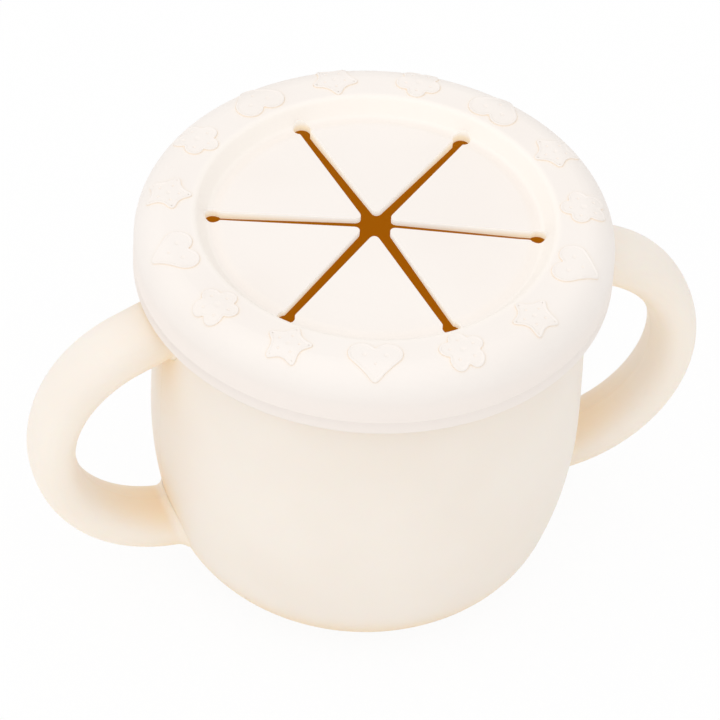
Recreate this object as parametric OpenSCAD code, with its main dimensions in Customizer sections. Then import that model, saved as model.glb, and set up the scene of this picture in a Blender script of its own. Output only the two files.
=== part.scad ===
// Toddler snack container, in soft silicone.
// A two-handled cup with a press-on lid. The lid's thin disc is cut by radial slits into flaps,
// which let a hand in and keep the snack from spilling.
// Millimetres, +Z up. The origin is the centre of the base, and the handles lie along X.

/* [Cup] */
// Height of the cup, from the table to the top of its mouth
cup_h = 77.6; // [70:0.2:90]
// Radius of the cup at its widest
cup_r = 41; // [38:0.5:46]
// Height of the widest place above the table
wide_z = 36; // [32:0.5:42]
// How much narrower in radius the mouth is than the widest place
mouth_draw = 0.9; // [0.4:0.1:2]
// Radius of the long curve of the side, seen from the side
side_r = 83; // [75:1:110]
// Radius of the curve from the side into the base, seen from the side
corner_r = 16; // [12:0.5:20]
// Thickness of the side wall
wall = 3; // [2:0.1:4]
// Thickness of the floor
floor_t = 3.5; // [2.5:0.1:5]
// How far the gripping band at the mouth stands out from the wall
band_proud = 1.6; // [1:0.1:2.2]
// Height of the gripping band
band_h = 8; // [6.5:0.1:8.5]
// Chamfer at the edges of the mouth
mouth_chamfer = 0.8; // [0.3:0.1:1.2]

/* [Handles] */
// How far the middle of the grip stands out from the cup's widest place
grip_out = 21.3; // [20:0.1:24]
// Clearance between the handles and the lid's lower edge
handle_gap = 0.5; // [0.4:0.1:2]
// Radius of the handle's bend, to the middle of the handle
grip_r = 25.6; // [24:0.1:27]
// Thickness of the handle, in the plane of its loop
handle_t = 9; // [7:0.2:10]
// Width of the handle, across the plane of its loop
handle_w = 13.2; // [11:0.2:16]

/* [Lid] */
// Clearance between the lid and the cup, on the radius
lid_gap = 0.3; // [0.2:0.05:0.4]
// Thickness of the lid's skirt
skirt_wall = 3; // [2.4:0.1:4]
// How far the skirt hangs below the cup's mouth
skirt_drop = 9.2; // [8.8:0.1:10.5]
// Height of the mould line above the skirt's lower edge
mould_line_z = 3.2; // [2:0.1:4]
// How far the skirt steps in below the mould line
mould_step = 0.25; // [0.1:0.05:0.4]
// Width of the raised rim, from the lid's edge to the disc
rim_w = 13.4; // [12:0.2:16]
// Height of the rim's crest above the disc
rim_rise = 2.5; // [1.6:0.1:4]
// Radius of the rim's outer shoulder
shoulder_r = 6; // [4:0.5:6.5]
// Width of the slope from the disc up to the crest
slope_w = 3.4; // [2.4:0.2:4.6]
// Thickness of the disc
disc_t = 1.1; // [0.8:0.1:1.6]
// Height of the disc's underside above the cup's mouth
disc_lift = 0.6; // [0.2:0.1:1.2]
// Thickness of the plug that seals inside the mouth
plug_wall = 2; // [1.4:0.1:2.6]
// How deep the plug reaches into the mouth
plug_drop = 6; // [4:0.5:8]

/* [Flaps] */
// Number of flaps
flap_count = 6; // [6]
// Turn of the first slit from the handles' line, in degrees
slit_turn = 39.5; // [0:0.5:60]
// Width of a slit
slit_w = 1.85; // [1.2:0.05:2.4]
// Radius of the rounded tip of a flap
tip_r = 1.9; // [1.4:0.1:2.6]
// Radius of the hole at the end of a slit
end_hole_r = 1.7; // [1.3:0.1:2]
// Distance from the disc's edge to the middle of an end hole
end_hole_inset = 1.3; // [0.8:0.1:2.4]
// Clearance at the bend line between a flap and the disc
bend_gap = 0.2; // [0.15:0.05:0.3]

/* [Reliefs] */
// Number of raised figures round the rim
relief_count = 15; // [9:3:15]
// Height of a figure above the rim
relief_h = 0.35; // [0.2:0.05:0.6]
// How far the middle of a figure stands in from the lid's edge
relief_inset = 6.4; // [6:0.1:7]
// Size of a figure, as the radius of the circle round it
relief_r = 4.6; // [3.6:0.1:5]

/* [Hidden] */
cream = [0.96, 0.93, 0.87];
cream_lid = [0.98, 0.96, 0.93];
fine = 120;

// Cup
mouth_r = cup_r - mouth_draw;
band_r = mouth_r + band_proud;
band_z = cup_h - band_h;
corner_turn = asin((wide_z - corner_r) / (side_r - corner_r));
base_r = cup_r - side_r + (side_r - corner_r) * cos(corner_turn);

// Lid's edge over the band
skirt_in_r = band_r + lid_gap;
skirt_z = cup_h - skirt_drop;

// Handles: the top of the bend passes the lid's lower inner edge at the clearance
grip_x = cup_r + grip_out - grip_r;
grip_rise = sqrt(pow(grip_r + handle_t / 2, 2) - pow(skirt_in_r - grip_x, 2));
grip_z = skirt_z - handle_gap - grip_rise;

// Lid
lid_r = skirt_in_r + skirt_wall;
plug_r = mouth_r - wall - lid_gap;
disc_z = cup_h + disc_lift;
disc_mid_z = disc_z + disc_t / 2;
disc_top_z = disc_z + disc_t;
crest_z = disc_top_z + rim_rise;
shoulder_z = crest_z - shoulder_r;
disc_r = lid_r - rim_w;

// Flaps
pitch = 360 / flap_count;
half_pitch = pitch / 2;
end_ring_r = disc_r - end_hole_inset;
bend_x = end_ring_r * cos(half_pitch) - end_hole_r - disc_t / 2 - bend_gap;
tip_x = (slit_w / 2 + tip_r) / sin(half_pitch);
seat_r = disc_t / 2 + bend_gap;
tip_steps = 16;

// Half the width of a flap at distance x from the middle of the lid
function flap_half(x) = x * tan(half_pitch) - slit_w / 2 / cos(half_pitch);

// Turn of a flap's middle line
function flap_turn(k) = slit_turn + half_pitch + k * pitch;

// Points on the slope from the disc up to the crest, a smooth step in equal parts
slope_steps = 10;
slope_points = [for (i = [1 : slope_steps - 1])
    [disc_r + slope_w * i / slope_steps, disc_top_z + rim_rise * (1 - cos(180 * i / slope_steps)) / 2]];

// ---- Cup ----

// Half outline of the cup's side and base, moved in by inset, up to the height top_z
module cup_outline(inset, top_z) {
    turn_z = corner_r - (corner_r - inset) * sin(corner_turn);
    // Upper side
    polygon([[0, wide_z], [cup_r - inset, wide_z], [mouth_r - inset, band_z],
             [mouth_r - inset, top_z], [0, top_z]]);
    // Lower side
    intersection() {
        translate([cup_r - side_r, wide_z]) circle(r = side_r - inset, $fn = 360);
        translate([0, turn_z]) square([cup_r, wide_z - turn_z]);
    }
    // Curve into the base
    intersection() {
        translate([base_r, corner_r]) circle(r = corner_r - inset, $fn = fine);
        translate([base_r, 0]) square([corner_r, turn_z]);
    }
    // Base
    translate([0, inset]) square([base_r, turn_z - inset]);
}

// Band round the mouth that the lid's skirt grips
module band_outline() {
    polygon([[mouth_r - wall / 2, band_z - band_proud], [mouth_r, band_z - band_proud], [band_r, band_z],
             [band_r, cup_h - mouth_chamfer], [band_r - mouth_chamfer, cup_h], [mouth_r - wall / 2, cup_h]]);
}

// Half outline of the space inside the cup, above the floor
module cup_hollow() {
    bevel = mouth_chamfer / 2;
    in_r = mouth_r - wall;
    intersection() {
        cup_outline(wall, cup_h + 1);
        translate([0, floor_t]) square([cup_r, cup_h]);
    }
    polygon([[0, cup_h - bevel], [in_r, cup_h - bevel], [in_r + bevel, cup_h], [in_r + bevel, cup_h + 1],
             [0, cup_h + 1]]);
}

// The cup's outside as a solid, which the handles are cut to
module cup_outside() {
    rotate_extrude($fn = fine) {
        cup_outline(0, cup_h);
        band_outline();
    }
}

module cup_body() {
    color(cream) rotate_extrude($fn = fine) difference() {
        union() {
            cup_outline(0, cup_h);
            band_outline();
        }
        cup_hollow();
    }
}

// ---- Handles ----

// Section of the handle, a slot shape with round sides
module handle_section() {
    straight = handle_w - handle_t;
    square([handle_t, straight], center = true);
    for (side = [-1, 1]) translate([0, side * straight / 2]) circle(d = handle_t, $fn = 48);
}

// A handle along +X: a ring that runs through the cup's wall, cut to the cup's outside
module handle() {
    difference() {
        translate([grip_x, 0, grip_z]) rotate([90, 0, 0])
            rotate_extrude($fn = fine) translate([grip_r, 0]) handle_section();
        cup_outside();
    }
}

module right_handle() {
    color(cream) handle();
}

module left_handle() {
    color(cream) mirror([1, 0, 0]) handle();
}

// ---- Lid ----

// Half outline of the lid's outside, raised by lift above its rim
module lid_outline(lift) {
    edge_r = lid_r - mould_step;
    polygon(concat(
        [[0, skirt_z], [edge_r, skirt_z], [edge_r, skirt_z + mould_line_z],
         [lid_r, skirt_z + mould_line_z + mould_step], [lid_r, shoulder_z],
         [lid_r - shoulder_r, shoulder_z], [lid_r - shoulder_r, crest_z + lift],
         [disc_r + slope_w, crest_z + lift]],
        [for (i = [len(slope_points) - 1 : -1 : 0]) slope_points[i] + [0, lift]],
        [[disc_r, disc_top_z + lift], [0, disc_top_z + lift]]));
    intersection() {
        translate([lid_r - shoulder_r, shoulder_z]) circle(r = shoulder_r + lift, $fn = fine);
        translate([lid_r - shoulder_r, shoulder_z]) square(shoulder_r + lift);
    }
}

// Half outline of the space under the lid: the groove for the cup's mouth, and the inside of the plug
module lid_hollow() {
    plug_in_r = plug_r - plug_wall;
    plug_z = cup_h - plug_drop;
    low_z = skirt_z - 1;
    polygon([[0, low_z], [skirt_in_r, low_z], [skirt_in_r, cup_h], [plug_r, cup_h],
             [plug_r, plug_z], [plug_in_r, plug_z], [plug_in_r, disc_z], [0, disc_z]]);
}

// Cut lines through the disc: slits, their end holes and the flaps' own space
module disc_cut() {
    depth = rim_rise + disc_t + 2;
    translate([0, 0, disc_z - 1]) {
        rotate(slit_turn) cylinder(r = bend_x / cos(half_pitch), h = depth, $fn = flap_count);
        for (k = [0 : flap_count - 1]) rotate(slit_turn + k * pitch) {
            translate([0, -slit_w / 2, 0]) cube([end_ring_r, slit_w, depth]);
            translate([end_ring_r, 0, 0]) cylinder(r = end_hole_r, h = depth, $fn = 48);
        }
    }
    for (k = [0 : flap_count - 1]) rotate(flap_turn(k))
        translate([bend_x, 0, disc_mid_z]) rotate([90, 0, 0])
            cylinder(r = seat_r, h = 2 * bend_x * tan(half_pitch), center = true, $fn = 48);
}

// Outlines of the raised figures, each about as large as a circle of radius 1, upright towards the middle
module star() {
    polygon([for (i = [0 : 9]) (i % 2 == 0 ? 0.55 : 1) * [cos(36 * i), sin(36 * i)]]);
}

module heart() {
    lobe = 0.52;
    reach = 0.95;
    rotate(135) translate([-reach, -reach] / 2) {
        square(reach);
        translate([reach, reach / 2]) circle(r = lobe * reach, $fn = 48);
        translate([reach / 2, reach]) circle(r = lobe * reach, $fn = 48);
    }
}

module flower() {
    circle(r = 0.5, $fn = 48);
    for (i = [0 : 4]) rotate(72 * i) translate([0.6, 0]) circle(r = 0.38, $fn = 48);
}

module lid_reliefs() {
    intersection() {
        rotate_extrude($fn = fine) intersection() {
            lid_outline(relief_h);
            translate([disc_r, disc_top_z]) square([rim_w, rim_rise + 1]);
        }
        for (k = [0 : relief_count - 1]) rotate(k * 360 / relief_count)
            translate([lid_r - relief_inset, 0, disc_top_z]) linear_extrude(rim_rise + 1) scale(relief_r) {
                if (k % 3 == 0) star();
                if (k % 3 == 1) heart();
                if (k % 3 == 2) flower();
            }
    }
}

module lid_rim() {
    color(cream_lid) {
        difference() {
            rotate_extrude($fn = fine) difference() {
                lid_outline(0);
                lid_hollow();
            }
            disc_cut();
        }
        lid_reliefs();
    }
}

// ---- Flaps ----

// Outline of a flap along +X, from its round tip to the end of its nose at the bend line
module flap_plan() {
    nose_x = bend_x + disc_t / 2;
    side = 90 - half_pitch;
    tip = [for (i = [0 : tip_steps]) let (a = side - 2 * side * i / tip_steps)
        [tip_x - tip_r * cos(a), -tip_r * sin(a)]];
    polygon(concat(tip, [[nose_x, flap_half(nose_x)], [nose_x, -flap_half(nose_x)]]));
}

module flap_shape() {
    intersection() {
        translate([0, 0, disc_z - 1]) linear_extrude(disc_t + 2) flap_plan();
        rotate([90, 0, 0]) linear_extrude(4 * flap_half(bend_x), center = true) {
            translate([0, disc_z]) square([bend_x, disc_t]);
            translate([bend_x, disc_mid_z]) circle(d = disc_t, $fn = 48);
        }
    }
}

module flap(k) {
    color(cream_lid) rotate(flap_turn(k - 1)) flap_shape();
}

cup_body();
left_handle();
right_handle();
lid_rim();
flap(1);  // flap_1
flap(2);  // flap_2
flap(3);  // flap_3
flap(4);  // flap_4
flap(5);  // flap_5
flap(6);  // flap_6
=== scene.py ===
import math

import bmesh
import bpy
from mathutils import Matrix, Vector


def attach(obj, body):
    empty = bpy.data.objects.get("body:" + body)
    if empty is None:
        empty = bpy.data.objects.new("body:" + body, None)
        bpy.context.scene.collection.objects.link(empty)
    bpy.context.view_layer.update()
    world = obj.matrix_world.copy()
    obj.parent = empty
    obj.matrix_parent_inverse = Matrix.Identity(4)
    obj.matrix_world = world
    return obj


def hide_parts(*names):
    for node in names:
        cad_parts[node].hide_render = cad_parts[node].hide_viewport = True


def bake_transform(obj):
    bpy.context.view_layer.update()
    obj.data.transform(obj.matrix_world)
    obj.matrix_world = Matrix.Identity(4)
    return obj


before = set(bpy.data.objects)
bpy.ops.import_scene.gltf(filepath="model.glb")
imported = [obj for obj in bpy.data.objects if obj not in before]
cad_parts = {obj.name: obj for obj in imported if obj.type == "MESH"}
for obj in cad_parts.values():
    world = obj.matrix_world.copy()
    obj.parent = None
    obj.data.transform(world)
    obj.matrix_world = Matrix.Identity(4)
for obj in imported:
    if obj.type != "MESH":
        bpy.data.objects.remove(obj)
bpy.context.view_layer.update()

mm = 0.001
touch = 0.01  # in millimetres: places nearer than this count as one place
hair = 0.001  # the same, for the finest shapes
print("frame loaded")


# Small helpers for meshes

def newProfile(x, z):
    # starts a half outline in the XZ plane; sizes in millimetres from here on
    bm = bmesh.new()
    return bm, bm.verts.new((x * mm, 0, z * mm))


def lineTo(bm, last, x, z):
    corner = bm.verts.new((x * mm, 0, z * mm))
    bm.edges.new((last, corner))
    return corner


def vertsOf(geometry):
    return [g for g in geometry if isinstance(g, bmesh.types.BMVert)]


def arcBy(bm, last, x, z, degrees, steps):
    # carries the outline round the centre (x, z), anticlockwise where degrees are above zero
    made = bmesh.ops.spin(bm, geom=[last], cent=(x * mm, 0, z * mm), axis=(0, -1, 0),
                          angle=math.radians(degrees), steps=steps, use_merge=False)
    return vertsOf(made["geom_last"])[0]


def roundCorners(bm, corners, size, steps=4):
    bmesh.ops.bevel(bm, geom=corners, offset=size * mm, offset_type="OFFSET", segments=steps,
                    profile=0.5, affect="VERTICES", material=-1, clamp_overlap=True)


def spinRound(bm, steps):
    bmesh.ops.spin(bm, geom=bm.verts[:] + bm.edges[:], cent=(0, 0, 0), axis=(0, 0, 1),
                   angle=2 * math.pi, steps=steps, use_merge=True)
    weld(bm, 2 * hair)


def weld(bm, reach):
    bmesh.ops.remove_doubles(bm, verts=bm.verts, dist=reach * mm)


def cutAt(bm, x, y, normal, tolerance=0.0):
    # adds a line of edges where the upright plane through (x, y) crosses the shape
    bmesh.ops.bisect_plane(bm, geom=bm.verts[:] + bm.edges[:] + bm.faces[:], dist=tolerance * mm,
                           plane_co=(x * mm, y * mm, 0), plane_no=normal)


def turnRound(bm, degrees):
    bmesh.ops.rotate(bm, verts=bm.verts, cent=(0, 0, 0),
                     matrix=Matrix.Rotation(math.radians(degrees), 3, "Z"))


def mirrorAcross(bm, reach):
    # adds the other half, on the far side of the X axis
    bmesh.ops.mirror(bm, geom=bm.verts[:] + bm.edges[:], matrix=Matrix.Identity(4), axis="Y",
                     merge_dist=reach * mm)


def keepFlat(bm, levelFrom=0.998, sharpFrom=50):
    # level faces keep their own normals, so their shading doesn't lean towards the edges round them,
    # and edges that no rounding softens stay sharp
    bmesh.ops.recalc_face_normals(bm, faces=bm.faces)
    for edge in bm.edges:
        level = [abs(face.normal.z) > levelFrom for face in edge.link_faces]
        if any(level) and not all(level) or edge.calc_face_angle(0) > math.radians(sharpFrom):
            edge.smooth = False


def addObject(name, data):
    made = bpy.data.objects.new(name, data)
    bpy.context.scene.collection.objects.link(made)
    return made


def makePiece(name, bm, materials):
    bmesh.ops.recalc_face_normals(bm, faces=bm.faces)
    mesh = bpy.data.meshes.new(name)
    for face in bm.faces:
        face.smooth = True
    bm.to_mesh(mesh)
    bm.free()
    piece = addObject(name, mesh)
    for material in materials:
        mesh.materials.append(material)
    return piece


def smoothStep(value, low, high):
    # a smooth step from 0 at low to 1 at high
    t = min(1, max(0, (value - low) / (high - low)))
    return t * t * (3 - 2 * t)


# Shader maths as Python expressions

class Socket:
    def __init__(self, tree, output):
        self.tree, self.output = tree, output

    def math(self, operation, other=None, flip=False):
        values = [self, other] if other is not None else [self]
        return self.tree.node("ShaderNodeMath", {"operation": operation}, values[::-1] if flip else values)

    def __add__(self, other):
        return self.math("ADD", other)

    def __sub__(self, other):
        return self.math("SUBTRACT", other)

    def __rsub__(self, other):
        return self.math("SUBTRACT", other, flip=True)

    def __mul__(self, other):
        return self.math("MULTIPLY", other)

    __radd__ = __add__
    __rmul__ = __mul__


class Finish:
    def __init__(self, name):
        self.material = bpy.data.materials.new(name)
        self.material.use_nodes = True
        self.open(self.material.node_tree)
        self.shader = self.nodes["Principled BSDF"]

    def open(self, tree):
        self.nodes, self.links = tree.nodes, tree.links

    @classmethod
    def over(cls, world):
        finish = cls.__new__(cls)
        finish.open(world.node_tree)
        return finish

    def put(self, socket, value):
        if isinstance(value, Socket):
            self.links.new(value.output, socket)
        else:
            socket.default_value = value

    def node(self, kind, settings=None, inputs=None, output=0):
        made = self.nodes.new(kind)
        for key, value in (settings or {}).items():
            setattr(made, key, value)
        pairs = inputs.items() if isinstance(inputs, dict) else enumerate(inputs or [])
        for key, value in pairs:
            self.put(made.inputs[key], value)
        return Socket(self, made.outputs[output])

    def place(self):
        # millimetres in the object's own frame
        coordinates = self.node("ShaderNodeTexCoord", output="Object")
        return self.node("ShaderNodeVectorMath", {"operation": "SCALE"}, {0: coordinates, "Scale": 1 / mm})

    def parts(self, value):
        first = self.node("ShaderNodeSeparateXYZ", None, [value])
        return [Socket(self, output) for output in first.output.node.outputs]

    def noise(self, place, scale, detail=2.0):
        return self.node("ShaderNodeTexNoise", None, {"Vector": place, "Scale": scale, "Detail": detail})

    def openness(self, reach, samples):
        # 1 where nothing stands within reach, down to 0 in closed places
        return self.node("ShaderNodeAmbientOcclusion", {"samples": samples}, {"Distance": reach * mm},
                         output=1)

    def mix(self, share, first, second):
        return self.node("ShaderNodeMix", {"data_type": "RGBA"}, {0: share, 6: first, 7: second}, output=2)

    def smooth(self, value, low, high, atLow, atHigh):
        return self.node("ShaderNodeMapRange", {"interpolation_type": "SMOOTHSTEP"},
                         [value, low, high, atLow, atHigh])

    def cloud(self, place, scale, share, low=0.3, high=0.7):
        # soft blotches between 0 and share
        return self.smooth(self.noise(place, scale), low, high, 0, share)

    def paint(self, colour):
        # keeps the colour, so that a finish made from this one can tint it further
        self.colour = colour
        self.put(self.shader.inputs["Base Color"], colour)

    def shine(self, roughness, specular):
        self.put(self.shader.inputs["Roughness"], roughness)
        self.put(self.shader.inputs["Specular IOR Level"], specular)

    def paintedGlow(self, colour):
        self.put(self.shader.inputs["Emission Color"], colour)
        self.put(self.shader.inputs["Emission Strength"], 1.0)

    def mixShaders(self, share, first, second, target):
        mixed = self.node("ShaderNodeMixShader", None, [share, first, second])
        self.put(self.nodes[target].inputs["Surface"], mixed)

    def bump(self, height, distance, strength):
        return self.node("ShaderNodeBump", None,
                         {"Height": height, "Distance": distance * mm, "Strength": strength})


def rgba(colour, share=1.0):
    return (colour[0] * share, colour[1] * share, colour[2] * share, 1)


black = (0, 0, 0, 1)
white = (1, 1, 1, 1)


# Sizes of the lid, used by its finish as well

lid = {
    "edge": 44.87,
    "skirtFoot": 68.4,
    "skirtInside": 42.0,
    "skirtRound": 0.9,
    "mouldZ": 71.6,
    "mouldRidge": 0.05,
    "mouldFoot": 0.11,
    "mouldTop": 0.045,
    "mouldRound": 0.06,
    "shoulder": 6.0,
    "shoulderSteps": 16,
    "crest": 81.8,
    "crestRadius": 34.4,
    "crestRound": 1.6,
    "crestSteps": 7,
    "footRadius": 30.5,
    "footRound": 1.5,
    "footSteps": 5,
    "discTop": 79.1,
    "discFrom": 24.0,
    "gutter": 0.3,
    "gutterFrom": 28.7,
    "gutterTo": 30.0,
    "gutterRound": 0.45,
    "discUnder": 77.35,
    "underTilt": 0.4,
    "tiltRadius": 30.0,
    "tiltTurn": 70.0,
    "tiltFade": 2.5,
    "plugRadius": 36.8,
    "plugInside": 34.8,
    "plugFoot": 71.6,
    "plugRound": 0.6,
    "mouth": 77.6,
    "lathe": 240,
}


# Silicone: matt, with a faint cloudiness and a fine moulded skin; light that has passed through it is warm,
# so its hollows get a painted warm shade

silicone = {
    "cup": (0.92, 0.85, 0.773),
    "lid": (0.922, 0.866, 0.819),
    "cloudiness": 0.03,
    "cloudDepth": 1.35,
    "cloudScale": 0.035,
    "cloudFrom": 0.35,
    "cloudTo": 0.75,
    "cloudShare": 0.35,
    "roughness": 0.52,
    "roughSpread": 0.12,
    "specular": 0.35,
    "skinHeight": 0.012,
    "skinScale": 2.2,
    "skinDetail": 3.0,
    "skinStrength": 0.35,
    # painted shade: a warm colour mixed in where a place is closed in, as in the hollows
    "paintedHollowShade": (0.93, 0.71, 0.44),  # hollows, where the light has lost its blue
    "paintedShadeReach": 16.0,
    "paintedShadeFrom": 0.3,
    "paintedShadeTo": 0.95,
    "paintedShadeCup": 0.75,
    "paintedShadeLid": 0.375,
    # painted glow on sides and undersides, for light that comes through from above
    "through": (0.085, 0.062, 0.022),  # light that comes through from above
    "undersideGlowTo": 0.95,
    "undersideGlowCup": 0.2,
    "undersideGlowHandle": 1.0,
    "scatter": 0.1,
    "scatterDepth": (1.0, 0.5, 0.25),
    "scatterScale": 1.0,
}


def siliconeFinish(name, colour, paintedShadeShare):
    finish = Finish(name)
    place = finish.place()
    clouds = finish.cloud(place, silicone["cloudScale"], silicone["cloudShare"], silicone["cloudFrom"],
                          silicone["cloudTo"])
    dull = rgba([part ** silicone["cloudDepth"] for part in colour], 1 - silicone["cloudiness"])
    clouded = finish.mix(clouds, rgba(colour), dull)
    # painted shade: the colour turns warm where the place is closed in
    paintedShade = finish.smooth(finish.openness(silicone["paintedShadeReach"], 8), silicone["paintedShadeFrom"],
                           silicone["paintedShadeTo"], paintedShadeShare, 0)
    finish.paint(finish.mix(paintedShade, clouded, rgba(silicone["paintedHollowShade"])))
    grain = finish.noise(place, silicone["skinScale"], silicone["skinDetail"])
    finish.shine(silicone["roughness"] + (grain - 0.5) * silicone["roughSpread"], silicone["specular"])
    finish.put(finish.shader.inputs["Normal"],
               finish.bump(grain, silicone["skinHeight"], silicone["skinStrength"]))
    return finish


def softFinish(name, undersideGlowShare):
    # cup and handles: a painted glow on their sides and undersides stands for the warm light that thin parts
    # let through from above
    finish = siliconeFinish(name, silicone["cup"], silicone["paintedShadeCup"])
    normal = finish.node("ShaderNodeNewGeometry", output="Normal")
    # painted glow, strongest where the surface faces down
    share = finish.smooth(finish.parts(normal)[2], -1.0, silicone["undersideGlowTo"], undersideGlowShare, 0)
    finish.paintedGlow(finish.mix(share, black, rgba(silicone["through"])))
    finish.put(finish.shader.inputs["Subsurface Weight"], silicone["scatter"])
    finish.put(finish.shader.inputs["Subsurface Radius"], silicone["scatterDepth"])
    finish.put(finish.shader.inputs["Subsurface Scale"], silicone["scatterScale"] * mm)
    return finish.material


lidTint = {
    # painted shade in the creases at the feet of the low relief
    "paintedCreaseShade": (0.93, 0.79, 0.63),  # feet of the low relief
    "creaseShadeReach": 0.9,
    "creaseShadeFrom": 0.5,
    "creaseShadeTo": 0.97,
    "creaseShadeShare": 0.8,
    # painted light: a lighter colour that evens out the shade on the slope
    "slope": (0.965, 0.907, 0.845),  # between the disc and the crest
    "slopeLightSoft": 1.0,
    "slopeLightBeyond": 0.6,
    "skirt": (0.922, 0.845, 0.788),  # outer side, below the shoulder
    "skirtShare": 0.9,
    "skirtFull": 73.0,
    "skirtGone": 79.0,
    "skirtFrom": 3.0,
    "skirtTo": 0.5,
}


def lidSilicone(name):
    finish = siliconeFinish(name, silicone["lid"], silicone["paintedShadeLid"])
    # painted shade: the creases beside the figures turn amber where they are closed in
    paintedCreaseShade = finish.smooth(finish.openness(lidTint["creaseShadeReach"], 6), lidTint["creaseShadeFrom"],
                           lidTint["creaseShadeTo"], lidTint["creaseShadeShare"], 0)
    x, y, z = finish.parts(finish.place())
    radius = (x * x + y * y).math("SQRT")
    foot, crest, edge = lid["footRadius"], lid["crestRadius"], lid["edge"]
    # painted light on the slope between the disc and the crest
    slope = (finish.smooth(radius, foot, foot + lidTint["slopeLightSoft"], 0, 1)
             * finish.smooth(radius, crest - lidTint["slopeLightSoft"], crest + lidTint["slopeLightBeyond"], 1, 0))
    skirt = (finish.smooth(z, lidTint["skirtFull"], lidTint["skirtGone"], lidTint["skirtShare"], 0)
             * finish.smooth(radius, edge - lidTint["skirtFrom"], edge - lidTint["skirtTo"], 0, 1))
    # mixes in the painted crease shade, the painted light on the slope and the skirt's tint
    for share, tint in ((paintedCreaseShade, lidTint["paintedCreaseShade"]), (slope, lidTint["slope"]), (skirt, lidTint["skirt"])):
        finish.paint(finish.mix(share, finish.colour, rgba(tint)))
    return finish.material


# Inside: the walls let warm light through, so the closed space gets a painted amber shade and a painted glow

inside = {
    # painted glow and painted amber shade of the closed space
    "paintedGlow": (0.178, 0.0675, 0.0012),
    "colour": (0.50, 0.265, 0.035),
    "cloudScale": 0.05,
    "cloudShare": 0.25,
    "cloudDark": 0.8,
    "roughSpread": 0.2,
    "specular": 0.2,
    "openColour": (0.92, 0.80, 0.66),
    "openReach": 88.0,
    "openFrom": 0.13,
    "openTo": 0.36,
    "cupMouth": (75.8, 77.4),  # heights between which it turns cream
    "plugMouth": (77.6, 78.1),
}


def insideFinish(name, colour, mouth):
    # painted amber shade and painted glow where it is closed, cream at the mouth and where it is open
    finish = Finish(name)
    place = finish.place()
    cream = finish.smooth(finish.parts(place)[2], mouth[0], mouth[1], 0, 1)
    sky = finish.openness(inside["openReach"], 8)
    opened = finish.smooth(sky, inside["openFrom"], inside["openTo"], 0, 1)
    cloud = finish.cloud(place, inside["cloudScale"], inside["cloudShare"])
    paintedAmber = finish.mix(cloud, rgba(inside["colour"]), rgba(inside["colour"], inside["cloudDark"]))
    daylit = finish.mix(opened, paintedAmber, rgba(inside["openColour"]))
    finish.paint(finish.mix(cream, daylit, rgba(colour)))
    pale = 1 - (1 - cream) * (1 - opened)
    # painted glow, gone at the mouth and where it is open
    finish.paintedGlow(finish.mix(pale, rgba(inside["paintedGlow"]), black))
    finish.shine(silicone["roughness"] + cloud * inside["roughSpread"], inside["specular"])
    return finish.material


# Edges of the slits: thin enough to let light through, so a painted glow keeps them bright and a painted
# beige shade darkens them downwards

slitEdge = {
    # painted shade: the beige colour at the foot of the slit walls
    "low": (0.88, 0.76, 0.60),  # colour of the lower edge; the upper one has the lid's
    "paintedGlowLow": (0.26, 0.275, 0.22),
    "paintedGlowHigh": (0.185, 0.235, 0.24),
    "lowZ": 77.4,
    "highZ": 79.2,
    "cloudScale": 0.4,
    "cloudShare": 0.3,
    "cloudDark": 0.95,
    "roughSpread": 0.1,
    "specular": 0.2,
}


def edgeFinish(name, colour):
    finish = Finish(name)
    place = finish.place()
    top = finish.smooth(finish.parts(place)[2], slitEdge["lowZ"], slitEdge["highZ"], 0, 1)
    cloud = finish.cloud(place, slitEdge["cloudScale"], slitEdge["cloudShare"])
    upper = finish.mix(cloud, rgba(colour), rgba(colour, slitEdge["cloudDark"]))
    # painted shade, beige towards the bottom; a painted glow over the whole wall
    finish.paint(finish.mix(top, rgba(slitEdge["low"]), upper))
    finish.paintedGlow(finish.mix(top, rgba(slitEdge["paintedGlowLow"]), rgba(slitEdge["paintedGlowHigh"])))
    finish.shine(silicone["roughness"] + cloud * slitEdge["roughSpread"], slitEdge["specular"])
    return finish.material


cupFinish = softFinish("cupSilicone", silicone["undersideGlowCup"])
handleFinish = softFinish("handleSilicone", silicone["undersideGlowHandle"])
lidFinish = lidSilicone("lidSilicone")
lidEdge = edgeFinish("lidEdge", silicone["lid"])
cupInside = insideFinish("cupInside", silicone["cup"], inside["cupMouth"])
plugInside = insideFinish("plugInside", silicone["lid"], inside["plugMouth"])
print("materials made")


# Cup: a lathe shape whose bottom turns under in a soft corner

cup = {
    "height": 77.6,
    "wideRadius": 41.03,
    "wideZ": 35.8,
    "sideRadius": 82.7,
    "upperRadius": 580,
    "cornerRadius": 15.8,
    "wall": 3.0,
    "floor": 3.5,
    "bandRadius": 41.65,
    "bandFoot": 68.2,
    "bandZ": 69.7,
    "bandRound": 0.5,
    "mouthRound": 0.9,
    "innerHeights": (72, 62, 50),
    "cornerSteps": 14,
    "innerSteps": 12,
    "sideSteps": 16,
    "upperSteps": 12,
    "lathe": 240,
    "seamWidth": 0.22,
    "seamHeight": 0.07,
    "seamLow": 17.0,
    "seamHigh": 62.0,
    "seamFade": 4,
}


def cupTurn():
    # angle at which the corner hands over to the side
    return math.asin((cup["wideZ"] - cup["cornerRadius"]) / (cup["sideRadius"] - cup["cornerRadius"]))


def baseRadius():
    return (cup["wideRadius"] - cup["sideRadius"]
            + (cup["sideRadius"] - cup["cornerRadius"]) * math.cos(cupTurn()))


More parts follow.
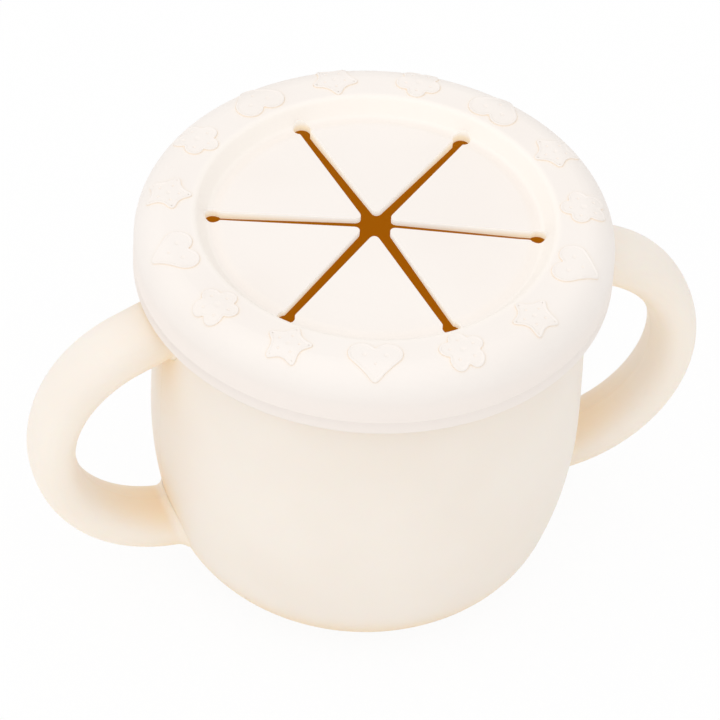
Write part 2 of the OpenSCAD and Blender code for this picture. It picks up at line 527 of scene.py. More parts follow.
def cupRadius(z):
    # outside radius of the cup at a height, in millimetres
    corner = cup["cornerRadius"]
    turnZ = corner - corner * math.sin(cupTurn())
    if z >= turnZ:
        radius = cup["upperRadius"] if z >= cup["wideZ"] else cup["sideRadius"]
        return cup["wideRadius"] - radius + math.sqrt(radius ** 2 - (z - cup["wideZ"]) ** 2)
    return baseRadius() + math.sqrt(max(0, corner ** 2 - (corner - max(z, 0)) ** 2))


def makeCup():
    turn = math.degrees(cupTurn())
    wide, wideZ, wall, floor = cup["wideRadius"], cup["wideZ"], cup["wall"], cup["floor"]
    upper = math.degrees(math.asin((cup["bandFoot"] - wideZ) / cup["upperRadius"]))
    top = cup["height"]
    # outside from the base up to the mouth, then down the inside to the floor
    bm, last = newProfile(0, 0)
    last = lineTo(bm, last, baseRadius(), 0)
    last = arcBy(bm, last, baseRadius(), cup["cornerRadius"], 90 - turn, cup["cornerSteps"])
    last = arcBy(bm, last, wide - cup["sideRadius"], wideZ, turn, cup["sideSteps"])
    foot = arcBy(bm, last, wide - cup["upperRadius"], wideZ, upper, cup["upperSteps"])
    band = lineTo(bm, foot, cup["bandRadius"], cup["bandZ"])
    outerMouth = lineTo(bm, band, cup["bandRadius"], top)
    innerMouth = lineTo(bm, outerMouth, cupRadius(top) - wall, top)
    last = innerMouth
    for z in cup["innerHeights"]:
        last = lineTo(bm, last, cupRadius(z) - wall, z)
    last = lineTo(bm, last, wide - wall, wideZ)
    last = arcBy(bm, last, wide - cup["sideRadius"], wideZ, -turn, cup["sideSteps"])
    inner = cup["cornerRadius"] - wall
    sink = math.degrees(math.asin((cup["cornerRadius"] - floor) / inner))
    last = arcBy(bm, last, baseRadius(), cup["cornerRadius"], -(sink - turn), cup["innerSteps"])
    lineTo(bm, last, 0, floor)
    roundCorners(bm, [outerMouth, innerMouth], cup["mouthRound"])
    roundCorners(bm, [foot, band], cup["bandRound"])
    spinRound(bm, cup["lathe"])
    low, high, fade = cup["seamLow"], cup["seamHigh"], cup["seamFade"]
    for side in (-1, 1):  # a fine mould line where the two halves of the mould meet
        cutAt(bm, 0, side * cup["seamWidth"], (0, 1, 0))
    for vert in bm.verts:
        x, y, z = vert.co / mm
        outer = math.hypot(x, y) > cupRadius(z) - 0.5 * wall
        if abs(y) < touch and outer and low < z < high:
            rise = smoothStep(z, low, low + fade) - smoothStep(z, high - fade, high)
            vert.co.x += math.copysign(cup["seamHeight"] * rise * mm, x)
    for face in bm.faces:
        x, y, z = face.calc_center_median() / mm
        if z > 0.5 * floor and math.hypot(x, y) < cupRadius(z) - 0.5 * wall and z < top - 0.2:
            face.material_index = 1
    piece = makePiece("cupBody", bm, [cupFinish, cupInside])
    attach(piece, "cup")
    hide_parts("cup_body")


makeCup()
print("cup made")


# Handles: an oval bar bent round the grip, with both arms flowing into the cup

handle = {
    "centreX": 37.57,
    "centreZ": 37.88,
    "bend": 24.7,
    "armAngle": 65.7,
    "halfWidth": 6.6,
    "topHalf": 4.85,
    "gripHalf": 4.3,
    "lowHalf": 4.6,
    "squareness": 2.25,
    "topFrom": 5,  # angles between which the bar grows from the grip to the arms
    "topTo": 60,
    "lowFrom": 5,
    "lowTo": 70,
    "fillet": 1.9,
    "topFillet": 0.9,
    "flareShare": 0.92,
    "sides": 64,
    "stations": 96,
    "evenShare": 0.45,  # the rest of the stations crowd towards the ends
    "easedShare": 0.55,
    "lowReach": 12,  # how far into the cup each arm is followed to find its end
    "topReach": 16,
    "seamHeight": 0.11,
    "seamSpread": 0.32,
    "sunk": 0.12,
}


def handlePath(s):
    # place and outward angle of the middle of the handle, s along it from the end of the lower arm's bend
    bend, arc = handle["bend"], math.radians(90 + handle["armAngle"])
    if s < 0:
        return handle["centreX"] + s, handle["centreZ"] - bend, -90.0
    if s < bend * arc:
        angle = s / bend - math.pi / 2
        return (handle["centreX"] + bend * math.cos(angle), handle["centreZ"] + bend * math.sin(angle),
                math.degrees(angle))
    angle = math.radians(handle["armAngle"])
    beyond = s - bend * arc
    return (handle["centreX"] + bend * math.cos(angle) - beyond * math.sin(angle),
            handle["centreZ"] + bend * math.sin(angle) + beyond * math.cos(angle), handle["armAngle"])


def handleHalf(angle):
    # half the bar's thickness, a little more on the arms than on the grip
    grip = handle["gripHalf"]
    return (grip + (handle["topHalf"] - grip) * smoothStep(angle, handle["topFrom"], handle["topTo"])
            + (handle["lowHalf"] - grip) * smoothStep(-angle, handle["lowFrom"], handle["lowTo"]))


def sectionAngle(j):
    # angle round the section; the corners next to the inner mould line stand close to it
    turn = 2 * math.pi * j / handle["sides"]
    step = 2 * math.pi / handle["sides"]
    away = turn - math.pi
    if abs(abs(away) - step) < 0.01:
        return math.pi + math.copysign(step * handle["seamSpread"], away)
    return turn


def handlePoint(s, j, grow=0.0):
    # point j of the section at s, pushed out by grow
    x, z, angle = handlePath(s)
    phi = sectionAngle(j)
    power = 2 / handle["squareness"]
    across = math.copysign(abs(math.cos(phi)) ** power, math.cos(phi))
    along = math.copysign(abs(math.sin(phi)) ** power, math.sin(phi))
    half = handleHalf(angle)
    line = handle["seamHeight"] if j == handle["sides"] // 2 else 0
    out = Vector((across * (half + grow) - line, along * (handle["halfWidth"] + grow)))
    a = math.radians(angle)
    return Vector((x + out.x * math.cos(a), out.y, z + out.x * math.sin(a)))


def offCup(point):
    # distance of a point from the cup's outside, in millimetres
    step = 0.1
    slope = (cupRadius(point.z + step) - cupRadius(point.z - step)) / (2 * step)
    return (math.hypot(point.x, point.y) - cupRadius(point.z)) / math.sqrt(1 + slope * slope)


def flare(distance, angle):
    # how far the bar widens towards the cup: a quarter round, small under the lid
    fillet = handle["topFillet"] if angle > 0 else handle["fillet"]
    near = min(1, max(0, 1 - distance / fillet))
    return fillet * (1 - math.sqrt(1 - near * near)) * handle["flareShare"]


def flaredPoint(s, j):
    # the flare moves the point, which changes its distance from the cup, so a few rounds settle it
    point = handlePoint(s, j)
    for _ in range(6):
        point = handlePoint(s, j, flare(offCup(point), handlePath(s)[2]))
    return point


def reachCup(j, inner, outer):
    # where line j of the bar meets the cup, between s = inner inside the wall and s = outer on the grip
    for _ in range(30):
        middle = (inner + outer) / 2
        if offCup(flaredPoint(middle, j)) > -handle["sunk"]:
            outer = middle
        else:
            inner = middle
    return outer


def makeHandle(name, node, side):
    arc = handle["bend"] * math.radians(90 + handle["armAngle"])
    sides, stations = handle["sides"], handle["stations"]
    starts = [reachCup(j, -handle["lowReach"], 0.3 * arc) for j in range(sides)]
    ends = [reachCup(j, arc + handle["topReach"], 0.7 * arc) for j in range(sides)]
    bm = bmesh.new()
    ring = bmesh.ops.create_circle(bm, segments=sides, radius=handle["halfWidth"] * mm)["verts"]
    for i in range(stations + 1):
        t = i / stations
        eased = handle["evenShare"] * t + handle["easedShare"] * (1 - math.cos(math.pi * t)) / 2
        if i:
            edges = list({edge for vert in ring for edge in vert.link_edges
                          if all(v in ring for v in edge.verts)})
            fresh = vertsOf(bmesh.ops.extrude_edge_only(bm, edges=edges)["geom"])
            ring = sorted(fresh, key=lambda v: min(range(sides), key=lambda k: (ring[k].co - v.co).length))
        for j, vert in enumerate(ring):
            point = flaredPoint(starts[j] + (ends[j] - starts[j]) * eased, j)
            vert.co = Vector((side * point.x, side * point.y, point.z)) * mm
    bmesh.ops.holes_fill(bm, edges=[edge for edge in bm.edges if edge.is_boundary], sides=0)
    piece = makePiece(name, bm, [handleFinish])
    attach(piece, "cup")
    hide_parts(node)


makeHandle("rightHandle", "right_handle", 1)
makeHandle("leftHandle", "left_handle", -1)
print("handles made")


# Lid: a pillow rim and skirt round a thin disc, which is slit into flaps

slits = {
    "count": 6,
    "turn": 39.5,
    "width": 2.2,
    "hubWidth": 2.44,
    "ring": 30.25,
    "holeRadius": 1.7,
    "holeSteps": 28,
    "cutterHalf": 5,
    "tipRound": 3.3,
    "tipSteps": 10,
    "neckRound": 1.1,
    "neckSteps": 6,
    "edgeRound": 0.42,
    "edgeSteps": 3,
    "weld": 0.004,
    "tipLift": (0.55, 0.35, 0.5, 0.45, 0.85, 0.5),  # soft flaps never lie quite level
    "tipThinner": 0.42,
    "liftFrom": 23.8,
    "liftTo": 5.2,
    "bendLow": 21.4,
    "bendHigh": 26.1,
    "bendRows": 14,
    "rowsBefore": 0.6,
    "rowsShort": 0.1,
    "cornerCuts": (9.8, 10.5, 11.1, 11.7, 12.3, 12.9),
}


def polar(radius, degrees, z=0.0):
    a = math.radians(degrees)
    return Vector((radius * math.cos(a), radius * math.sin(a), z)) * mm


def slopeTurn():
    # angle of the straight part between the disc and the rim's crest, found by a few steps
    run, rise = lid["crestRadius"] - lid["footRadius"], lid["crest"] - lid["discTop"] + lid["gutter"]
    turn = math.atan2(rise, run)
    for _ in range(20):
        turn = math.atan2(rise, run - (lid["footRound"] + lid["crestRound"]) * math.tan(0.5 * turn))
    return turn


def rimPoint(radius):
    # height of the lid's top at a radius, and how far its surface leans outwards there, in radians
    turn, foot, crest = slopeTurn(), lid["footRound"], lid["crestRound"]
    shoulderRadius = lid["edge"] - lid["shoulder"]
    if radius >= shoulderRadius:
        lean = math.asin(min(1, (radius - shoulderRadius) / lid["shoulder"]))
        return lid["crest"] - lid["shoulder"] * (1 - math.cos(lean)), lean
    if radius >= lid["crestRadius"]:
        return lid["crest"], 0.0
    if radius >= lid["crestRadius"] - crest * math.sin(turn):
        lean = math.asin((lid["crestRadius"] - radius) / crest)
        return lid["crest"] - crest * (1 - math.cos(lean)), -lean
    if radius >= lid["footRadius"] + foot * math.sin(turn):
        down = lid["crestRadius"] - crest * math.sin(turn) - radius
        return lid["crest"] - crest * (1 - math.cos(turn)) - down * math.tan(turn), -turn
    if radius >= lid["footRadius"]:
        lean = math.asin((radius - lid["footRadius"]) / foot)
        return lid["discTop"] - lid["gutter"] + foot * (1 - math.cos(lean)), -lean
    return lid["discTop"], 0.0


def gutterDrop(radius):
    # how far the disc's top has fallen at a radius; the start of the gutter is rounded
    slope = lid["gutter"] / (lid["gutterTo"] - lid["gutterFrom"])
    beyond, soft = radius - lid["gutterFrom"], lid["gutterRound"]
    if beyond < -soft:
        return 0.0
    if beyond < soft:
        return slope * (beyond + soft) ** 2 / (4 * soft)
    return min(lid["gutter"], slope * beyond)


def lidProfile():
    # from the disc over the rim, down the skirt, up the groove, round the plug and back under the disc
    turn = math.degrees(slopeTurn())
    foot, crest, shoulder = lid["footRound"], lid["crestRound"], lid["shoulder"]
    edge, mouldZ, ridge = lid["edge"], lid["mouldZ"], lid["mouldRidge"]
    gutterZ = lid["discTop"] - lid["gutter"]
    bm, start = newProfile(lid["discFrom"], lid["discTop"])
    gutterFrom = lineTo(bm, start, lid["gutterFrom"], lid["discTop"])
    gutterTo = lineTo(bm, gutterFrom, lid["gutterTo"], gutterZ)
    last = lineTo(bm, gutterTo, lid["footRadius"], gutterZ)
    last = arcBy(bm, last, lid["footRadius"], gutterZ + foot, turn, lid["footSteps"])
    slopeTop = lid["crestRadius"] - crest * math.sin(slopeTurn())
    last = lineTo(bm, last, slopeTop, rimPoint(slopeTop)[0])
    last = arcBy(bm, last, lid["crestRadius"], lid["crest"] - crest, -turn, lid["crestSteps"])
    last = lineTo(bm, last, edge - shoulder, lid["crest"])
    last = arcBy(bm, last, edge - shoulder, lid["crest"] - shoulder, -90, lid["shoulderSteps"])
    last = lineTo(bm, last, edge, mouldZ + lid["mouldFoot"])
    upperRidge = lineTo(bm, last, edge + ridge, mouldZ + lid["mouldTop"])
    lowerRidge = lineTo(bm, upperRidge, edge + ridge, mouldZ - lid["mouldTop"])
    last = lineTo(bm, lowerRidge, edge, mouldZ - lid["mouldFoot"])
    skirtFoot = lineTo(bm, last, edge, lid["skirtFoot"])
    innerFoot = lineTo(bm, skirtFoot, lid["skirtInside"], lid["skirtFoot"])
    groove = lineTo(bm, innerFoot, lid["skirtInside"], lid["mouth"])
    plugRoot = lineTo(bm, groove, lid["plugRadius"], lid["mouth"])
    plugFoot = lineTo(bm, plugRoot, lid["plugRadius"], lid["plugFoot"])
    plugInner = lineTo(bm, plugFoot, lid["plugInside"], lid["plugFoot"])
    under = lineTo(bm, plugInner, lid["plugInside"], lid["discUnder"])
    last = lineTo(bm, under, lid["discFrom"], lid["discUnder"])
    bm.edges.new((last, start))
    roundCorners(bm, [gutterFrom, gutterTo], lid["gutterRound"])
    roundCorners(bm, [skirtFoot], lid["skirtRound"])
    roundCorners(bm, [innerFoot, plugFoot, plugInner, under], lid["plugRound"])
    roundCorners(bm, [upperRidge, lowerRidge], lid["mouldRound"], 2)
    return bm


def roundEdges(bm, edges):
    bmesh.ops.bevel(bm, geom=edges, offset=slits["edgeRound"] * mm, offset_type="OFFSET",
                    segments=slits["edgeSteps"], profile=0.5, affect="EDGES", material=-1, clamp_overlap=True)


def holeCentre(k):
    return polar(slits["ring"], slits["turn"] + k * 360 / slits["count"], lid["discTop"])


def cutAway(bm, cutter):
    # takes the cutter's volume out of the shape and returns what is left
    pieces = []
    for name, source in (("ringStep", bm), ("cutterStep", cutter)):
        bmesh.ops.recalc_face_normals(source, faces=source.faces)
        mesh = bpy.data.meshes.new(name)
        source.to_mesh(mesh)
        source.free()
        pieces.append(addObject(name, mesh))
    cut = pieces[0].modifiers.new("cut", "BOOLEAN")
    cut.operation, cut.solver, cut.object = "DIFFERENCE", "EXACT", pieces[1]
    left = bpy.data.meshes.new_from_object(pieces[0].evaluated_get(bpy.context.evaluated_depsgraph_get()))
    result = bmesh.new()
    result.from_mesh(left)
    bpy.data.meshes.remove(left)
    for piece in pieces:
        mesh = piece.data
        bpy.data.objects.remove(piece)
        bpy.data.meshes.remove(mesh)
    return result


def slitCutter():
    # a prism: six chords where the flaps bend from, joined round the outer side of each end hole
    bm = bmesh.new()
    starts, stops = [], []
    for k in range(slits["count"]):
        out = slits["turn"] + k * 360 / slits["count"]
        start = bm.verts.new(holeCentre(k) + polar(slits["holeRadius"], out - 120))
        made = bmesh.ops.spin(bm, geom=[start], cent=holeCentre(k), axis=(0, 0, 1),
                              angle=math.radians(240), steps=slits["holeSteps"], use_merge=False)
        starts.append(start)
        stops.append(vertsOf(made["geom_last"])[0])
    for k, stop in enumerate(stops):
        bm.edges.new((stop, starts[(k + 1) % slits["count"]]))
    bmesh.ops.contextual_create(bm, geom=bm.edges[:])
    bmesh.ops.translate(bm, verts=bm.verts, vec=(0, 0, slits["cutterHalf"] * mm))
    made = bmesh.ops.extrude_face_region(bm, geom=bm.faces[:])["geom"]
    bmesh.ops.translate(bm, verts=vertsOf(made), vec=(0, 0, -2 * slits["cutterHalf"] * mm))
    return bm


def isWall(face):
    # true for an upright face inside the slit circle
    x, y, z = face.calc_center_median() / mm
    reach = slits["ring"] + slits["holeRadius"] + 0.1
    return abs(face.normal.z) < 0.5 and math.hypot(x, y) < reach and z > lid["discUnder"]


def tiltUnder(verts):
    # the disc's underside isn't quite parallel to its top; the change fades out towards the plug
    for vert in verts:
        depth = min(1, max(0, (lid["discTop"] - vert.co.z / mm) / (lid["discTop"] - lid["discUnder"])))
        radius = vert.co.xy.length / mm
        if lid["discUnder"] - lid["plugRound"] < vert.co.z / mm and radius < lid["plugInside"] - 0.1:
            fade = smoothStep(lid["plugInside"] - 0.4 - radius, 0, lid["tiltFade"])
            along = vert.co.dot(polar(1, lid["tiltTurn"])) / mm / mm
            vert.co.z -= depth * fade * lid["underTilt"] * along / lid["tiltRadius"] * mm


def makeLidRing():
    bm = lidProfile()
    spinRound(bm, lid["lathe"])
    bm = cutAway(bm, slitCutter())
    weld(bm, slits["weld"])
    bmesh.ops.recalc_face_normals(bm, faces=bm.faces)
    lips = []
    for edge in bm.edges:
        kinds = sorted(isWall(face) for face in edge.link_faces)
        middle = (edge.verts[0].co + edge.verts[1].co) / 2
        near = min((holeCentre(k) - middle).xy.length for k in range(slits["count"])) / mm
        if kinds == [False, True] and near < slits["holeRadius"] + 2 * touch:
            lips.append(edge)
    roundEdges(bm, lips)
    for face in bm.faces:
        x, y, z = face.calc_center_median() / mm
        if isWall(face):
            face.material_index = 2
        elif math.hypot(x, y) < lid["plugInside"] + 0.2 and z < lid["discUnder"] + 0.05:
            face.material_index = 1
    tiltUnder(bm.verts)
    keepFlat(bm)
    piece = makePiece("lidRing", bm, [lidFinish, plugInside, lidEdge])
    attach(piece, "lid")
    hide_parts("lid_rim")


def flapOutline(bm, half, chordX):
    # one side from its end hole to the tip, mirrored, and closed by the chord the flap bends from
    centre = polar(slits["ring"], half, lid["discTop"])
    radius = slits["holeRadius"]
    neck = math.degrees(math.asin(0.5 * slits["width"] / radius))
    start = bm.verts.new((chordX, centre.y - radius * mm, centre.z))
    made = bmesh.ops.spin(bm, geom=[start], cent=centre, axis=(0, 0, 1),
                          angle=-math.radians(90 - half - neck), steps=slits["neckSteps"], use_merge=False)
    corner = vertsOf(made["geom_last"])[0]
    tip = bm.verts.new((0.5 * slits["hubWidth"] / math.sin(math.radians(half)) * mm, 0, centre.z))
    bm.edges.new((corner, tip))
    roundCorners(bm, [corner], slits["neckRound"])
    mirrorAcross(bm, hair)
    weld(bm, hair)
    tips = [v for v in bm.verts if abs(v.co.y) < hair * mm]
    roundCorners(bm, tips, slits["tipRound"] * math.tan(math.radians(half)), slits["tipSteps"])
    bm.edges.new([v for v in bm.verts if len(v.link_edges) == 1])


def makeFlap(k):
    # drawn along +X, then turned to its place
    half = 180 / slits["count"]
    chordX = slits["ring"] * math.cos(math.radians(half)) * mm
    bm = bmesh.new()
    flapOutline(bm, half, chordX)
    bmesh.ops.contextual_create(bm, geom=bm.edges[:])
    bmesh.ops.recalc_face_normals(bm, faces=bm.faces)
    if bm.faces[0].normal.z > 0:
        bmesh.ops.reverse_faces(bm, faces=bm.faces[:])
    low = vertsOf(bmesh.ops.extrude_face_region(bm, geom=bm.faces[:])["geom"])
    bmesh.ops.translate(bm, verts=low, vec=(0, 0, (lid["discUnder"] - lid["discTop"]) * mm))
    bmesh.ops.recalc_face_normals(bm, faces=bm.faces)
    roundEdges(bm, [edge for edge in bm.edges
                    if abs(edge.verts[0].co.z - edge.verts[1].co.z) < touch * mm
                    and not all(abs(v.co.x - chordX) < hair * mm for v in edge.verts)])
    rows = slits["bendRows"]
    first, last = slits["bendLow"] - slits["rowsBefore"], chordX / mm - slits["rowsShort"]
    for i in range(1, rows):  # rows across the bend, so the sheet can curve
        cutAt(bm, first + (last - first) * i / rows, 0, (1, 0, 0))
    for y in slits["cornerCuts"]:  # cuts near the corners, so these can follow the gutter
        for side in (-1, 1):
            cutAt(bm, 0, side * y, (0, 1, 0))
    weld(bm, slits["weld"])
    for vert in bm.verts:  # towards its tip the flap rises a little and gets thinner
        share = max(0, (slits["liftFrom"] - vert.co.x / mm) / (slits["liftFrom"] - slits["liftTo"]))
        depth = (lid["discTop"] - vert.co.z / mm) / (lid["discTop"] - lid["discUnder"])
        vert.co.z += share * (slits["tipLift"][k] + depth * slits["tipThinner"]) * mm
        vert.co.z -= (1 - depth) * gutterDrop(vert.co.xy.length / mm) * mm
    turn = slits["turn"] + half + k * 360 / slits["count"]
    turnRound(bm, turn)
    tiltUnder(bm.verts)
    bmesh.ops.recalc_face_normals(bm, faces=bm.faces)
    for face in bm.faces:
        if abs(face.normal.z) < 0.5:
            face.material_index = 1
    keepFlat(bm)
    piece = makePiece("flap%d" % (k + 1), bm, [lidFinish, lidEdge])
    node = "flap_%d" % (k + 1)
    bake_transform(piece)
    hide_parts(node)


makeLidRing()
for k in range(slits["count"]):
    makeFlap(k)
print("lid made")


# Figures: soft raised stars, hearts and flowers in turn round the rim

figures = {
    "count": 15,
    "firstTurn": 12.0,
    "ring": 38.9,
    "size": 4.45,
    "height": 0.29,
    "plate": 0.17,
    "beadWidth": 0.62,
    # distances from the edge, with shares of the height over the rim, then of that over the plate
    "beadRise": ((0.06, 0.55), (0.14, 0.9), (0.26, 1), (0.38, 0.96)),
    "beadFall": (0.50, 0.35),
    "flat": 0.12,
    "dimple": 0.12,
    "dimpleFall": ((0.12, 0.0), (0.3, 0.35), (0.5, 0.8), (0.72, 1.0)),  # shares of radius and depth
    "dimpleSides": 20,
    "around": 2.05,  # reach of the ring of five dimples
    "buried": 0.35,
    "grid": 0.8,
    "star": {
        "reach": 1.15,
        "notch": 0.57,
        "notchRound": 0.95,
        "tipRound": 1.25,
        "roundSteps": 6,
        "middle": 0.62,  # radii of the dimples
        "dot": 0.36,
    },
    "heart": {
        "lobe": 2.7,
        "reach": 2.4,
        "back": -1.35,
        "tip": 4.75,
        "tipRound": 1.1,
        "tipSteps": 6,
        "notchRound": 0.4,
        "lobeSteps": 26,
        "dots": ((-1.0, 1.95, 0.62), (-1.0, -1.95, 0.62), (1.15, 0, 0.4)),  # x, y and radius
    },
    "flower": {
        "petals": 5,
        "petal": 0.41,
        "petalSteps": 18,
        "notchRound": 0.4,
        "spread": 1.2,
        "middle": 0.85,
        "dot": 0.42,
    },
}


def starOutline(bm):
    # a fat star, drawn with one arm towards -X, which is the middle of the lid
    star = figures["star"]
    size = star["reach"] * figures["size"] * mm
    ring = bmesh.ops.create_circle(bm, segments=10, radius=size)["verts"]
    tips = [v for v in ring if math.cos(5 * math.atan2(v.co.y, -v.co.x)) > 0]
    if len(tips) != 5:
        turnRound(bm, 18)
    tips = [v for v in ring if math.cos(5 * math.atan2(v.co.y, -v.co.x)) > 0]
    notches = [v for v in ring if v not in tips]
    bmesh.ops.scale(bm, verts=notches, vec=[star["notch"]] * 3)
    roundCorners(bm, notches, star["notchRound"], star["roundSteps"])
    tips = [v for v in bm.verts if v.co.length > 0.9 * size]
    roundCorners(bm, tips, star["tipRound"], star["roundSteps"] + 1)


def heartOutline(bm):
    # lobes towards -X, point towards +X
    heart = figures["heart"]
    lobe, reach, back, tip = heart["lobe"], heart["reach"], heart["back"], heart["tip"]
    away = Vector((tip - back, -reach))
    tangent = math.atan2(away.y, away.x) + math.acos(lobe / away.length)
    last = math.pi + math.asin(reach / lobe)  # where the lobe's circle crosses the middle line
    start = bm.verts.new((tip * mm, 0, 0))
    first = bm.verts.new(((back + lobe * math.cos(tangent)) * mm, (reach + lobe * math.sin(tangent)) * mm, 0))
    bm.edges.new((start, first))
    bmesh.ops.spin(bm, geom=[first], cent=(back * mm, reach * mm, 0), axis=(0, 0, 1),
                   angle=last - tangent, steps=heart["lobeSteps"], use_merge=False)
    mirrorAcross(bm, 2 * hair)
    weld(bm, touch)
    middle = sorted([v for v in bm.verts if abs(v.co.y) < touch * mm], key=lambda v: v.co.x)
    roundCorners(bm, [middle[-1]], heart["tipRound"], heart["tipSteps"])
    roundCorners(bm, [middle[0]], heart["notchRound"])


def flowerOutline(bm):
    # round petals, one of them towards -X
    flower = figures["flower"]
    petals, petal = flower["petals"], flower["petal"] * figures["size"]
    reach = figures["size"] - petal
    share = math.pi / petals
    sweep = 2 * (share + math.asin(reach * math.sin(share) / petal))  # up to where petals meet
    turn = math.pi - sweep / 2
    centre = Vector((-reach, 0, 0)) * mm
    start = bm.verts.new(centre + Vector((math.cos(turn), math.sin(turn), 0)) * petal * mm)
    bmesh.ops.spin(bm, geom=[start], cent=centre, axis=(0, 0, 1), angle=sweep,
                   steps=flower["petalSteps"], use_merge=False)
    bmesh.ops.spin(bm, geom=bm.verts[:] + bm.edges[:], cent=(0, 0, 0), axis=(0, 0, 1),
                   angle=2 * math.pi * (petals - 1) / petals, steps=petals - 1, use_duplicate=True)
    weld(bm, 2 * touch)
    notch = min(v.co.length for v in bm.verts)
    roundCorners(bm, [v for v in bm.verts if v.co.length < notch + 2 * touch * mm], flower["notchRound"])


def insetSteps(bm, faces, steps):
    # insets one face again and again, to each distance from its first edge and height there
    if faces[0].normal.z < 0:
        bmesh.ops.reverse_faces(bm, faces=faces)
    was = 0.0
    for distance, height in steps:
        bmesh.ops.inset_region(bm, faces=faces, thickness=(distance - was) * mm, use_boundary=True,
                               use_even_offset=True)
        for vert in faces[0].verts:
            vert.co.z = height * mm
        was = distance


def raiseFigure(outline, dimples):
    # a flat plate with a rounded bead along its edge and small round dimples, still lying at the origin
    bm = bmesh.new()
    outline(bm)
    weld(bm, 3 * touch)
    bmesh.ops.contextual_create(bm, geom=bm.edges[:])
    bead, top, low = figures["beadWidth"], figures["height"], figures["plate"]
    for vert in bm.verts:
        vert.co.z = -figures["buried"] * mm
    plate = bm.faces[:]
    inner, share = figures["beadFall"]
    rise = [(distance, part * top) for distance, part in figures["beadRise"]]
    insetSteps(bm, plate, [(0.02, 0.0)] + rise + [(inner, low + share * (top - low)), (bead, low),
                                                  (bead + figures["flat"], low)])
    bmesh.ops.delete(bm, geom=plate, context="FACES_ONLY")
    for x, y, radius in dimples:
        middle = Matrix.Translation((x * mm, y * mm, low * mm))
        ring = bmesh.ops.create_circle(bm, cap_ends=True, segments=figures["dimpleSides"],
                                       radius=radius * mm, matrix=middle)["verts"]
        insetSteps(bm, list(ring[0].link_faces), [(share * radius, low - depth * figures["dimple"])
                                                  for share, depth in figures["dimpleFall"]])
    rims = [edge for edge in bm.edges if edge.is_boundary and edge.verts[0].co.z > 0]
    bmesh.ops.triangle_fill(bm, use_beauty=True, edges=rims, normal=(0, 0, 1))
    bottom = [edge for edge in bm.edges if edge.is_boundary]
    bmesh.ops.contextual_create(bm, geom=bottom)
    bmesh.ops.recalc_face_normals(bm, faces=bm.faces)
    return bm


def layOnRim(bm):
    # moves the plate out to the rim, cuts it finely enough to bend, and lays it on the rounded top
    bmesh.ops.translate(bm, verts=bm.verts, vec=(figures["ring"] * mm, 0, 0))
    reach = int(figures["size"] / figures["grid"]) + 1
    for i in range(-reach, reach + 1):
        step = i * figures["grid"]
        cutAt(bm, figures["ring"] + step, 0, (1, 0, 0), hair)
        cutAt(bm, 0, step, (0, 1, 0), hair)
    for vert in bm.verts:
        radius, height = vert.co.xy.length / mm, vert.co.z / mm
        z, lean = rimPoint(radius)
        out = vert.co.xy.normalized()
        spot = out * (radius + height * math.sin(lean)) * mm
        vert.co = Vector((spot.x, spot.y, (z + height * math.cos(lean)) * mm))


def makeFigures():
    turns = [math.radians(72 * i + 180) for i in range(5)]
    around = [(figures["around"] * math.cos(a), figures["around"] * math.sin(a)) for a in turns]
    star, flower = figures["star"], figures["flower"]
    spread = flower["spread"]
    kinds = (
        (starOutline, [(0, 0, star["middle"])] + [(x, y, star["dot"]) for x, y in around]),
        (heartOutline, figures["heart"]["dots"]),
        (flowerOutline, [(0, 0, flower["middle"])]
         + [(spread * x, spread * y, flower["dot"]) for x, y in around]),
    )
    rounds = figures["count"] // len(kinds)
    whole = bmesh.new()
    for i, (outline, dimples) in enumerate(kinds):
        bm = raiseFigure(outline, dimples)
        layOnRim(bm)
        turnRound(bm, figures["firstTurn"] + i * 360 / figures["count"])
        bmesh.ops.spin(bm, geom=bm.verts[:] + bm.edges[:] + bm.faces[:], cent=(0, 0, 0), axis=(0, 0, 1),
                       angle=2 * math.pi * (rounds - 1) / rounds, steps=rounds - 1, use_duplicate=True)
        mesh = bpy.data.meshes.new("figureStep")
        bm.to_mesh(mesh)
        bm.free()
        whole.from_mesh(mesh)
        bpy.data.meshes.remove(mesh)
    piece = makePiece("lidFigures", whole, [lidFinish])
    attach(piece, "lid")


makeFigures()
print("figures made")


# Camera and studio

view = {
    "target": (0.3, 4.9, 40.0),
    "distance": 1026.0,
    "azimuth": -20.03,
    "elevation": 43.53,
    "roll": 3.36,
    "lens": 267.9,
    "sensor": 36,
    "clip": (0.01, 20),
}


def makeCamera():
    data = bpy.data.cameras.new("camera")
    data.lens, data.sensor_width = view["lens"], view["sensor"]
    data.clip_start, data.clip_end = view["clip"]
    camera = addObject("camera", data)
    a, e = math.radians(view["azimuth"]), math.radians(view["elevation"])
    back = Vector((math.sin(a) * math.cos(e), -math.cos(a) * math.cos(e), math.sin(e)))
    place = Matrix.Translation((Vector(view["target"]) + back * view["distance"]) * mm)
    aim = (-back).to_track_quat("-Z", "Y").to_matrix().to_4x4()
    camera.matrix_world = place @ aim @ Matrix.Rotation(math.radians(view["roll"]), 4, "Z")
    bpy.context.scene.camera = camera


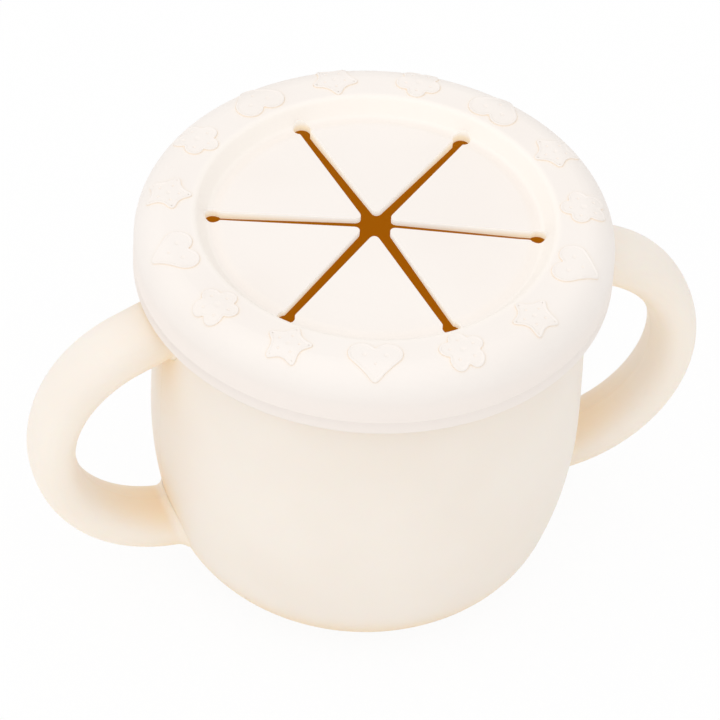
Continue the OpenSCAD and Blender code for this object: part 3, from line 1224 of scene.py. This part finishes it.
studio = {
    "floorHalf": 3.0,
    "floorGrey": 0.92,
    "floorRoughness": 0.9,
    "floorWhite": 0.93,  # share of plain white where the camera or a reflection sees the floor
    "around": 0.37,
    "fromLeft": 0.29,
    "fromFront": 0.2,
    "fromAbove": 0.7,
    "aim": (0, 0, 0.04),
    "lamps": {
        "key": {"place": (-1.1, -0.5, 1.1), "size": 1.2, "watts": 0.5},
    },
}


def makeFloor():
    bm = bmesh.new()
    bmesh.ops.create_grid(bm, x_segments=1, y_segments=1, size=studio["floorHalf"])
    finish = Finish("floorWhite")
    finish.paint(rgba(white, studio["floorGrey"]))
    finish.shine(studio["floorRoughness"], 0.0)
    camera, glossy, through = [finish.node("ShaderNodeLightPath", output="Is %s Ray" % kind)
                               for kind in ("Camera", "Glossy", "Transmission")]
    share = (camera + glossy + through) * studio["floorWhite"]
    lit = Socket(finish, finish.shader.outputs[0])
    finish.mixShaders(share, lit, finish.node("ShaderNodeEmission"), "Material Output")
    floor = makePiece("floor", bm, [finish.material])


def makeWorld():
    # a soft tent of light: strongest overhead, a little more from the left and the front
    world = bpy.data.worlds.new("studioWorld")
    bpy.context.scene.world = world
    world.use_nodes = True
    tent = Finish.over(world)
    x, y, z = tent.parts(tent.node("ShaderNodeTexCoord", output="Generated"))
    above = (z + 1) * 0.5
    strength = ((1 - x) * (0.5 * studio["fromLeft"]) + (1 - y) * (0.5 * studio["fromFront"])
                + above * above * above * studio["fromAbove"] + studio["around"])
    soft = tent.nodes["Background"]
    tent.put(soft.inputs["Color"], white)
    tent.put(soft.inputs["Strength"], strength)
    # the camera sees plain white behind the floor
    backdrop = tent.node("ShaderNodeBackground", None, {"Color": white, "Strength": 1.0})
    seen = tent.node("ShaderNodeLightPath", output="Is Camera Ray")
    tent.mixShaders(seen, Socket(tent, soft.outputs[0]), backdrop, "World Output")


def makeLamps():
    for name, facts in studio["lamps"].items():
        data = bpy.data.lights.new(name, "AREA")
        data.shape, data.size, data.energy = "DISK", facts["size"], facts["watts"]
        lamp = addObject(name, data)
        lamp.location = facts["place"]
        lamp.rotation_euler = (Vector(studio["aim"]) - lamp.location).to_track_quat("-Z", "Y").to_euler()


makeCamera()
makeFloor()
makeWorld()
makeLamps()
bpy.context.scene.view_settings.view_transform = "Standard"
print("studio made")
